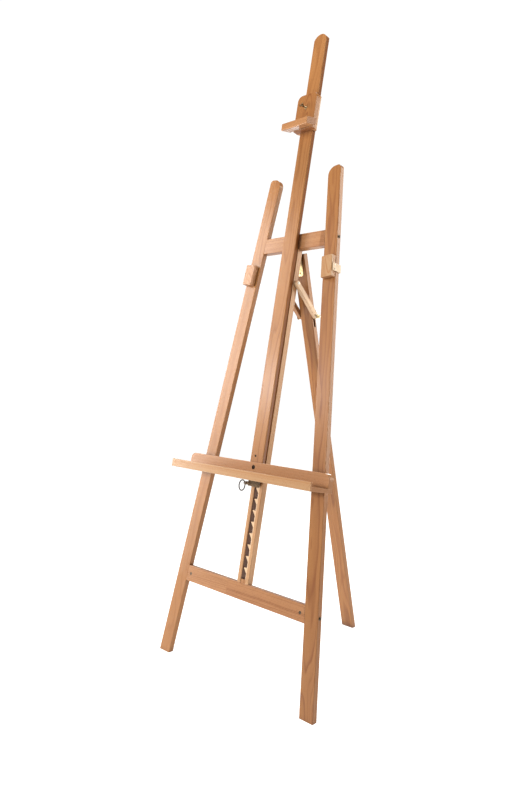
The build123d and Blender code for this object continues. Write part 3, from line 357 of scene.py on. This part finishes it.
def moulded(name, colour, dark):
    """Matt moulded plastic with a fine eggshell skin and slightly polished corners."""
    def build(g, inputs):
        where = g.scaled(g.add("TexCoord").outputs["Object"], (1 / MM, 1 / MM, 1 / MM))
        cloud = g.noise(g.scaled(where, (0.05, 0.05, 0.05)), detail=3)
        skin = g.noise(g.scaled(where, (1.6, 1.6, 1.6)), detail=2)
        edge = g.step(g.edges(0.9 * MM), 0.03, 0.3)
        tone = g.mix(g.step(cloud, 0.3, 0.7), (*colour, 1), (*dark, 1))
        tone = g.mix(g.math("MULTIPLY", edge, 0.35), tone, (0.86, 0.76, 0.62, 1))
        g.put(inputs["Base Color"], tone)
        rough = g.math("MULTIPLY_ADD", skin, 0.2, 0.42)
        g.put(inputs["Roughness"], g.math("SUBTRACT", rough, g.math("MULTIPLY", edge, 0.1)))
        g.put(inputs["Normal"], bumped(g, skin, 0.25, 0.1 * MM))
    return shaded(name, build)


# ---- Boards ----

# Painted light: the next tone is a paler, lit copy of the pale beech, for the right arm of the brace and the
# rack.
PALE_WITH_PAINTED_LIGHT = (0.62, 0.43, 0.265)
PALE = (0.415, 0.235, 0.118)
CREAM = (0.345, 0.195, 0.092)
TAN = (0.345, 0.165, 0.070)
GOLD = (0.300, 0.132, 0.044)
HONEY = (0.275, 0.118, 0.038)
WARM = (0.225, 0.088, 0.026)
RED = (0.190, 0.066, 0.020)

BOARDS = [
    # node, place, grain axes, seed, light, dark, heart, pitch, tilt
    ("left_leg", LEFT_LEG, "zxy", 11, GOLD, WARM, (14, 95), 2.8, 0.004),
    ("right_leg", RIGHT_LEG, "zxy", 12, HONEY, RED, (-9, 80), 3.0, 0.006),
    ("post_right_rail", FRAME, "zyx", 16, PALE, HONEY, (-55, 60), 2.6, 0.005),
    ("post_foot_block", FRAME, "zxy", 18, TAN, WARM, (30, 50), 2.6, 0.0),
    ("post_top_block", FRAME, "zxy", 19, TAN, WARM, (30, 60), 2.6, 0.0),
    ("tray_back_board", FRAME, "xzy", 21, TAN, HONEY, (12, 90), 3.4, 0.010),
    ("tray_shelf", FRAME, "xyz", 22, TAN, HONEY, (20, -80), 3.2, 0.006),
    ("tray_lip", FRAME, "xzy", 23, CREAM, GOLD, (60, 60), 2.8, 0.008),
    ("holder_plate", FRAME, "zxy", 24, HONEY, RED, (10, 34), 3.4, 0.14),
    ("holder_left_cheek", FRAME, "zyx", 25, PALE, TAN, (30, 60), 2.8, 0.01),
    ("holder_right_cheek", FRAME, "zyx", 26, PALE, TAN, (40, -60), 2.8, 0.01),
    ("holder_ledge", FRAME, "xyz", 27, TAN, WARM, (20, -40), 3.2, 0.1),
    ("left_pad_front", LEFT_LEG, "zxy", 28, TAN, WARM, (10, 40), 3.0, 0.1),
    ("left_pad_back", LEFT_LEG, "zxy", 29, TAN, HONEY, (-12, 60), 2.8, 0.02),
    ("right_pad_front", RIGHT_LEG, "zxy", 30, CREAM, HONEY, (14, 38), 3.0, 0.12),
    ("right_pad_back", RIGHT_LEG, "zxy", 31, TAN, HONEY, (-8, 70), 2.8, 0.02),
    ("rear_leg", REAR, "zxy", 32, GOLD, RED, (12, -85), 3.2, 0.005),
    ("brace_left_arm", BRACE, "zyx", 33, TAN, WARM, (30, 50), 2.6, 0.01),
    # Painted light: the right arm of the brace is a lit copy of the left arm's beech.
    ("brace_right_arm", BRACE, "zyx", 34, PALE_WITH_PAINTED_LIGHT, PALE, (-30, 50), 2.6, 0.01),
]
for node, place, grain, seed, light, dark, heart, pitch, tilt in BOARDS:
    beech(node, place, grain, seed, light, dark, heart, pitch, tilt)
# The mast's side faces get painted shade.
beech("mast", FRAME, "zxy", 20, GOLD, WARM, (-16, 105), 3.2, 0.005, sides=(0.6, 0.46, 0.3))
# The left rail of the post gets painted shade on the inner face of its slot.
beech("post_left_rail", FRAME, "zyx", 15, PALE, HONEY, (60, 45), 2.6, 0.004, slot=(0.3, 0.2, 0.13))
# Painted light: the rack is a paler, lit copy of the beech of the post rails.
beech("ratchet_rack", FRAME, "zyx", 17, PALE_WITH_PAINTED_LIGHT, PALE, (50, 60), 2.6, 0.003, dirt_and_shade=0.4)
beech("lower_crossbar", FRAME, "xzy", 13, TAN, RED, (-2, 45), 3.8, 0.12, joint=(-66.0, (0.94, 0.9, 0.87)))
# The upper crossbar is darker beyond 112.6 mm from its middle, up to the right leg, with a dark line where
# it turns.
beech("upper_crossbar", FRAME, "xzy", 14, TAN, RED, (4, 36), 3.6, 0.17, joint=(112.6, (0.72, 0.64, 0.55)))


# ---- Metals and plastic ----

ZINC = metal("zinc_steel", (0.62, 0.6, 0.55), (0.4, 0.38, 0.34), 0.32, (0.85, 0.84, 0.8))
# Dull zinc, darkened: on the barrel nuts this darkness is also painted shade of the holes they sit in.
DULL_ZINC_AND_SHADE = metal("dull_zinc_and_shade", (0.1, 0.078, 0.055), (0.045, 0.034, 0.024), 0.42, (0.4, 0.33, 0.24),
                  metallic=0.6)
DARK = metal("dark_steel", (0.04, 0.024, 0.012), (0.014, 0.009, 0.005), 0.46, (0.16, 0.1, 0.055),
             metallic=0.15, wear=0.25)
STRAP = metal("dark_strap", (0.12, 0.075, 0.038), (0.045, 0.027, 0.014), 0.42, (0.34, 0.22, 0.12),
              metallic=0.4)
BRASS = metal("brass", (0.86, 0.72, 0.42), (0.7, 0.52, 0.26), 0.3, (0.96, 0.86, 0.6), dirt_and_shade=0.3,
              metallic=0.8)
DULL_BRASS = metal("dull_brass", (0.42, 0.3, 0.13), (0.2, 0.13, 0.06), 0.34, (0.8, 0.62, 0.3), dirt_and_shade=0.5)
BRONZE = metal("bronzed_steel", (0.24, 0.17, 0.09), (0.1, 0.065, 0.035), 0.34, (0.58, 0.43, 0.22))
CLIP = moulded("beige_clip", (0.62, 0.47, 0.32), (0.54, 0.4, 0.265))

FINISHES = {
    ZINC: ["post_screws", "tray_bolt_nut", "tray_screws", "keeper_plate", "keeper_nuts", "brace_washers",
           "brace_pivot_bolt", "brace_slot_bolt", "holder_cheek_screws",
           "holder_ledge_screws", "left_pad_screws", "right_pad_screws"],
    DULL_ZINC_AND_SHADE: ["barrel_nuts", "keeper_bolts", "crossbar_bolts"],
    DARK: ["catch_spring", "pull_ring", "tray_bolt", "catch_bracket_screws", "catch_eye"],
    STRAP: ["catch_bracket", "catch_pawl"],
    BRASS: ["hinge_upper_leaf", "hinge_lower_leaf", "hinge_pin", "hinge_upper_screws",
            "hinge_lower_screws", "brace_wing_nut", "holder_insert"],
    BRONZE: ["holder_wing_screw"],
    CLIP: ["left_pad_clip", "right_pad_clip"],
}
for material, names in FINISHES.items():
    for name in names:
        nodes[name].data.materials.clear()
        nodes[name].data.materials.append(material)


# ---- Turned and recessed hardware, in millimetres ----

SEGMENTS = 48
SHARP = math.radians(32)


def at(base, point, outward, turn=0.0):
    """Places a local shape: its Z points outward from a point of one of the frames above."""
    aim = Vector(outward).to_track_quat("Z", "Y").to_matrix().to_4x4()
    spun = Matrix.Rotation(turn, 4, "Z")
    return base @ Matrix.Translation(Vector(point) * MM) @ aim @ spun @ Matrix.Scale(MM, 4)


def hexagon(across):
    """Radius of a hexagon at each angle."""
    sector = math.pi / 3
    return lambda angle: across / 2 / math.cos((angle + sector / 2) % sector - sector / 2)


def cross(reach, half_width):
    """Radius of a cross recess at each angle."""
    def radius(angle):
        cosine = max(abs(math.cos(angle)), 1e-6)
        sine = max(abs(math.sin(angle)), 1e-6)
        return max(min(reach / cosine, half_width / sine), min(reach / sine, half_width / cosine))
    return radius


def spin(bm, rings, place, closed=False):
    """Adds a turned shape from rings of (radius, height); a radius of 0 is a point."""
    loops = []
    for radius, height in rings:
        if radius == 0:
            loops.append([bm.verts.new(place @ Vector((0, 0, height)))])
            continue
        loop = []
        for index in range(SEGMENTS):
            angle = 2 * math.pi * index / SEGMENTS
            reach = radius(angle) if callable(radius) else radius
            point = Vector((reach * math.cos(angle), reach * math.sin(angle), height))
            loop.append(bm.verts.new(place @ point))
        loops.append(loop)
    pairs = list(zip(loops, loops[1:]))
    if closed:
        pairs.append((loops[-1], loops[0]))
    for low, high in pairs:
        for index in range(SEGMENTS):
            after = index + 1
            corners = [low[index % len(low)], low[after % len(low)], high[after % len(high)],
                       high[index % len(high)]]
            bm.faces.new(list(dict.fromkeys(corners)))


def head_rings(radius, height, recess, depth, shank=None, sunk=False):
    """Profile of a screw or bolt head: domed on a surface, or countersunk flush with it."""
    if sunk:
        rings = [(0, -height), (radius * 0.45, -height), (radius * 0.97, -0.25), (radius, -0.12),
                 (radius * 0.95, -0.02), (radius * 0.8, 0)]
        top = 0
    else:
        rings = [(radius * 0.96, 0), (radius, height * 0.16), (radius * 0.99, height * 0.42),
                 (radius * 0.93, height * 0.68), (radius * 0.82, height * 0.87), (radius * 0.66, height)]
        rings = [(0, shank[1]), (shank[0], shank[1]), (shank[0], 0)] + rings if shank else [(0, 0)] + rings
        top = height
    return rings + [(recess, top), (recess, top - depth), (0, top - depth * 1.15)]


def threads(radius, start, end, pitch=1.0, depth=0.42):
    """Profile of a thread."""
    rings = []
    for index in range(int((end - start) / pitch)):
        rings += [(radius - depth, start + index * pitch), (radius, start + (index + 0.5) * pitch)]
    return rings


def blade(bm, outline, half_thickness, place):
    """Adds a flat plate with an outline in its own X and Y."""
    layers = []
    for z in (-half_thickness, half_thickness):
        layers.append([bm.verts.new(place @ Vector((x, y, z))) for x, y in outline])
    bm.faces.new(list(reversed(layers[0])))
    bm.faces.new(layers[1])
    for index, corner in enumerate(layers[0]):
        after = (index + 1) % len(outline)
        bm.faces.new([corner, layers[0][after], layers[1][after], layers[1][index]])


def hull(points):
    order = convex_hull_2d([Vector(point) for point in points])
    return [tuple(points[index]) for index in order]


def disc(x, y, radius, count=20):
    turns = [2 * math.pi * index / count for index in range(count)]
    return [(x + radius * math.cos(turn), y + radius * math.sin(turn)) for turn in turns]


def finish_piece(name, bm, material, body, replaced=(), bevel=0.0):
    """Turns a bmesh into a piece that rides on a body and may stand for CAD nodes."""
    bmesh.ops.recalc_face_normals(bm, faces=bm.faces)
    for edge in bm.edges:
        edge.smooth = len(edge.link_faces) == 2 and edge.calc_face_angle(0.0) < SHARP
    for face in bm.faces:
        face.smooth = True
    mesh = bpy.data.meshes.new(name)
    bm.to_mesh(mesh)
    bm.free()
    piece = bpy.data.objects.new(name, mesh)
    bpy.context.scene.collection.objects.link(piece)
    mesh.materials.append(material)
    if bevel:
        soften = piece.modifiers.new("soft_edges", "BEVEL")
        soften.width = bevel * MM
        soften.segments = 3
        soften.limit_method = "ANGLE"
        soften.angle_limit = SHARP
    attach(piece, body)
    if replaced:
        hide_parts(*replaced)
    return piece


def heads(name, material, body, spots, rings, replaced):
    """One piece made of several equal heads; the recess of each is turned a little differently."""
    turns = random.Random(name)
    bm = bmesh.new()
    for base, point, outward in spots:
        spin(bm, rings, at(base, point, outward, turns.uniform(0, math.pi)))
    return finish_piece(name, bm, material, body, replaced)


def outer_edge(z):
    return 347.0 - z * math.tan(SPLAY)


CROSSBAR_HEIGHTS = (279, 1414)
bolt_spots = [(FRAME, (side * (outer_edge(z) + 0.6), 9, z), (side, 0, 0))
              for side in (-1, 1) for z in CROSSBAR_HEIGHTS]
heads("crossbar_bolt_heads", DULL_ZINC_AND_SHADE, "frame", bolt_spots,
      head_rings(5.0, 1.8, hexagon(4.0), 1.3, shank=(3.0, -20)), ["crossbar_bolts"])
post_spots = [(FRAME, (x, 9, z), (0, 0, way)) for x in (-17, 18.5) for z, way in ((253, -1), (1440, 1))]
heads("post_screw_heads", ZINC, "frame", post_spots,
      head_rings(3.8, 2.8, cross(2.3, 0.5), 1.4, sunk=True), ["post_screws"])
small_cross = cross(2.1, 0.42)
upper_spots = [(FRAME, (0, 23.6, z), (0, 1, 0)) for z in (1400, 1426)]
heads("hinge_upper_screw_heads", BRASS, "frame", upper_spots,
      head_rings(3.4, 1.0, small_cross, 0.8), ["hinge_upper_screws"])
lower_spots = [(REAR, (0, -0.1, -down), (0, -1, 0)) for down in (18, 42, 67)]
heads("hinge_lower_screw_heads", DULL_BRASS, "rear_leg", lower_spots,
      head_rings(3.4, 1.0, small_cross, 0.8), ["hinge_lower_screws"])
pivot_spots = [(FRAME, (side * 40.9, 9, 1276), (side, 0, 0)) for side in (-1, 1)]
heads("brace_pivot_heads", ZINC, "frame", pivot_spots,
      head_rings(4.8, 1.8, 1.1, 0.5, shank=(3.0, -15.5)), ["brace_pivot_bolt"])
keeper_spots = [(FRAME, (-6.25, -17.6, z), (0, -1, 0)) for z in (652, 705)]
heads("keeper_bolt_heads", DARK, "mast", keeper_spots,
      head_rings(4.0, 2.5, hexagon(3.0), 1.6, shank=(2.5, -44)), ["keeper_bolts"])
heads("tray_bolt_head", DARK, "mast", [(FRAME, (0, -24, 669), (0, -1, 0))],
      head_rings(5.2, 3.0, hexagon(4.0), 2.0, shank=(3.0, -21)), ["tray_bolt"])
tray_spots = [(FRAME, (x, -19, 630), (0, 0, -1)) for x in (-240, -80, 80, 240)]
heads("tray_screw_heads", ZINC, "mast", tray_spots,
      head_rings(3.6, 2.4, cross(2.2, 0.45), 1.3, sunk=True), ["tray_screws"])
bracket_spots = [(FRAME, (x, -30, 628.4), (0, 0, -1)) for x in (-26, 7)]
heads("bracket_screw_heads", DARK, "mast", bracket_spots,
      head_rings(3.2, 1.2, small_cross, 0.9), ["catch_bracket_screws"])
cheek_spots = [(FRAME, (side * 30.7, -9, z), (0, 1, 0)) for side in (-1, 1) for z in (1800, 1880)]
heads("cheek_screw_heads", ZINC, "holder", cheek_spots,
      head_rings(3.2, 1.5, cross(2.0, 0.42), 1.0, sunk=True), ["holder_cheek_screws"])
for side, leg, label in ((-1, LEFT_LEG, "left"), (1, RIGHT_LEG, "right")):
    clip_spots = [(leg, (side * 28.5, -6.5, z), (side, 0, 0)) for z in (1310.5, 1323)]
    clip_spots += [(leg, (0, -2.3, z), (0, 1, 0)) for z in (1299, 1344)]
    heads(label + "_clip_screw_heads", ZINC, label + "_pad", clip_spots,
          head_rings(2.9, 1.1, cross(1.8, 0.4), 0.8), [label + "_pad_screws"])

# The bolt in the slot of the rear leg, with a threaded end.
bm = bmesh.new()
along_bolt = at(BRACE, (0, 0, -BRACE_LENGTH), (1, 0, 0))
spin(bm, [(0, -43), (3.0, -43), (3.0, 41.8)] + threads(2.95, 42, 54.6)
     + [(2.4, 54.8), (1.9, 55.2), (0, 55.2)],
     along_bolt)
spin(bm, head_rings(6.2, 3.0, hexagon(4.0), 2.0), at(BRACE, (-42, 0, -BRACE_LENGTH), (-1, 0, 0), 0.4))
finish_piece("slot_bolt", bm, ZINC, "brace", ["brace_slot_bolt"])

# Wing nut and wing screw: a turned hub with two cast wings.
WING_TIP = 3.2


def wings(bm, place, reach, half_thickness):
    """Two wings that stand out on both sides of a hub along the local X."""
    centre = reach - WING_TIP
    shape = hull([(1.6, 0), (7.6, 0), (3.2, centre * 0.75)] + disc(10.0, centre, WING_TIP))
    blade(bm, shape, half_thickness, place)
    blade(bm, hull([(x, -y) for x, y in shape]), half_thickness, place)


SWEPT = Matrix.Rotation(math.radians(90), 4, "X")
nut_place = BRACE @ Matrix.Translation((42.2 * MM, 0, -BRACE_LENGTH * MM))
nut_place = nut_place @ Matrix.Rotation(math.radians(35), 4, "X") @ Matrix.Scale(MM, 4)
bm = bmesh.new()
hub = [(3.05, 0), (7.1, 0), (7.5, 0.5), (7.3, 1.8), (6.2, 5.4), (5.6, 7.6), (5.1, 8.6), (4.4, 9.0),
       (3.05, 8.8)]
spin(bm, hub, nut_place @ Matrix.Rotation(math.radians(90), 4, "Y"), closed=True)
wings(bm, nut_place @ SWEPT, 12.0, 1.3)
finish_piece("wing_nut", bm, BRASS, "wing_nut", ["brace_wing_nut"], bevel=0.55)

WING_FOOT = -51.8
WING_HEIGHT = 1860.5
screw_place = FRAME @ Matrix.Translation((0, WING_FOOT * MM, WING_HEIGHT * MM))
screw_place = screw_place @ Matrix.Rotation(math.radians(65), 4, "Y")
screw_place = screw_place @ Matrix.Rotation(math.radians(-90), 4, "Z")
screw_place = screw_place @ Matrix.Scale(MM, 4)
bm = bmesh.new()
shank = [(0, -30.4), (2.5, -30.4)] + threads(2.95, -30, -1.2)
shank += [(2.9, -0.6), (3.5, 0), (3.7, 0.8), (3.6, 6.6),
                                                              (3.2, 7.6), (2.4, 8.1), (0, 8.2)]
spin(bm, shank, screw_place @ Matrix.Rotation(math.radians(90), 4, "Y"))
wings(bm, screw_place @ SWEPT, 7.8, 1.25)
finish_piece("wing_screw", bm, BRONZE, "holder_screw", ["holder_wing_screw"], bevel=0.5)

# Riveted strap between the ring and the cover of the catch.
bm = bmesh.new()
strap_shape = hull(disc(44.0, 614.6, 5.6) + disc(30.0, 616.6, 5.4))
blade(bm, strap_shape, 0.6,
      FRAME @ Matrix.Translation((0, -8.9 * MM, 0)) @ Matrix.Rotation(math.radians(90), 4, "X")
      @ Matrix.Scale(-1, 4, (1, 0, 0)) @ Matrix.Scale(MM, 4))
finish_piece("catch_strap", bm, STRAP, "catch", bevel=0.3)
rivet_spots = [(FRAME, (x, -9.5, z), (0, -1, 0)) for x, z in ((-40.6, 616.0), (-30.0, 618.0))]
heads("catch_strap_rivets", DARK, "catch", rivet_spots, head_rings(2.3, 1.0, 0.7, 0.1), [])


# ---- Studio ----

def floor_material():
    def build(g, inputs):
        where = g.add("TexCoord").outputs["Object"]
        cloud = g.noise(g.scaled(where, (0.8, 0.8, 0.8)), detail=2)
        tone = g.mix(cloud, (0.34, 0.34, 0.335, 1), (0.37, 0.37, 0.365, 1))
        g.put(inputs["Base Color"], tone)
        inputs["Roughness"].default_value = 0.7
        inputs["Emission Color"].default_value = (1, 1, 1, 1)
        inputs["Emission Strength"].default_value = 0.97
    return shaded("pale_floor", build)


def floor():
    mesh = bpy.data.meshes.new("floor")
    bm = bmesh.new()
    bmesh.ops.create_circle(bm, cap_ends=True, radius=40.0, segments=64)
    bm.to_mesh(mesh)
    bm.free()
    disc = bpy.data.objects.new("floor", mesh)
    bpy.context.scene.collection.objects.link(disc)
    mesh.materials.append(floor_material())


def area_light(name, place, aim, width, height, watts, colour=(1, 1, 1)):
    lamp = bpy.data.lights.new(name, "AREA")
    lamp.shape = "RECTANGLE"
    lamp.size = width
    lamp.size_y = height
    lamp.energy = watts
    lamp.color = colour
    holder = bpy.data.objects.new(name, lamp)
    bpy.context.scene.collection.objects.link(holder)
    place, aim = Vector(place), Vector(aim)
    holder.location = place
    holder.rotation_euler = (aim - place).to_track_quat("-Z", "Y").to_euler()


def world():
    surroundings = bpy.data.worlds.new("studio")
    bpy.context.scene.world = surroundings
    surroundings.use_nodes = True
    g = Graph(surroundings.node_tree)
    surroundings.node_tree.nodes.clear()
    dim = g.add("Background", {"Color": (1.0, 0.96, 0.92, 1), "Strength": 0.16})
    white = g.add("Background", {"Color": (1, 1, 1, 1), "Strength": 1.05})
    seen = g.add("LightPath").outputs["Is Camera Ray"]
    mixed = g.add("MixShader", {0: seen, 1: dim.outputs[0], 2: white.outputs[0]})
    g.put(g.add("OutputWorld").inputs["Surface"], mixed.outputs[0])


def camera():
    lens = bpy.data.cameras.new("camera")
    lens.sensor_fit = "VERTICAL"
    lens.sensor_height = 36.0
    lens.lens = 30.262
    lens.clip_end = 100.0
    eye = bpy.data.objects.new("camera", lens)
    bpy.context.scene.collection.objects.link(eye)
    eye.location = (1.50271, -1.67003, 1.01454)
    eye.rotation_euler = (math.radians(90 - 3.876), 0, math.radians(44.4865))
    bpy.context.scene.camera = eye


floor()
world()
camera()
def bearing(degrees_left, height, distance=2.6):
    """A place seen from the easel so many degrees to the left of straight ahead."""
    turn = math.radians(degrees_left)
    return -distance * math.sin(turn), -distance * math.cos(turn), height


area_light("front_lamp", bearing(12, 1.45), (0, 0, 1.0), 0.3, 0.3, 37)
area_light("left_strip", bearing(60, 1.45), (0, 0, 1.0), 0.8, 2.6, 92, (1, 0.95, 0.89))
area_light("left_lamp", bearing(42, 1.6), (0, 0, 1.0), 0.3, 0.3, 8)
area_light("right_lamp", bearing(-80, 2.0), (0, 0, 1.0), 0.6, 0.6, 27)
area_light("right_back_panel", bearing(-145, 1.6), (0, 0, 1.1), 0.8, 2.4, 52, (1, 0.92, 0.82))
area_light("left_back_panel", bearing(150, 1.5), (0, 0, 1.0), 0.8, 0.8, 21)
area_light("overhead", (0.01, 0, 3.8), (0, 0, 1.0), 0.9, 0.9, 74)

settings = bpy.context.scene.view_settings
settings.view_transform = "Standard"
settings.look = "None"
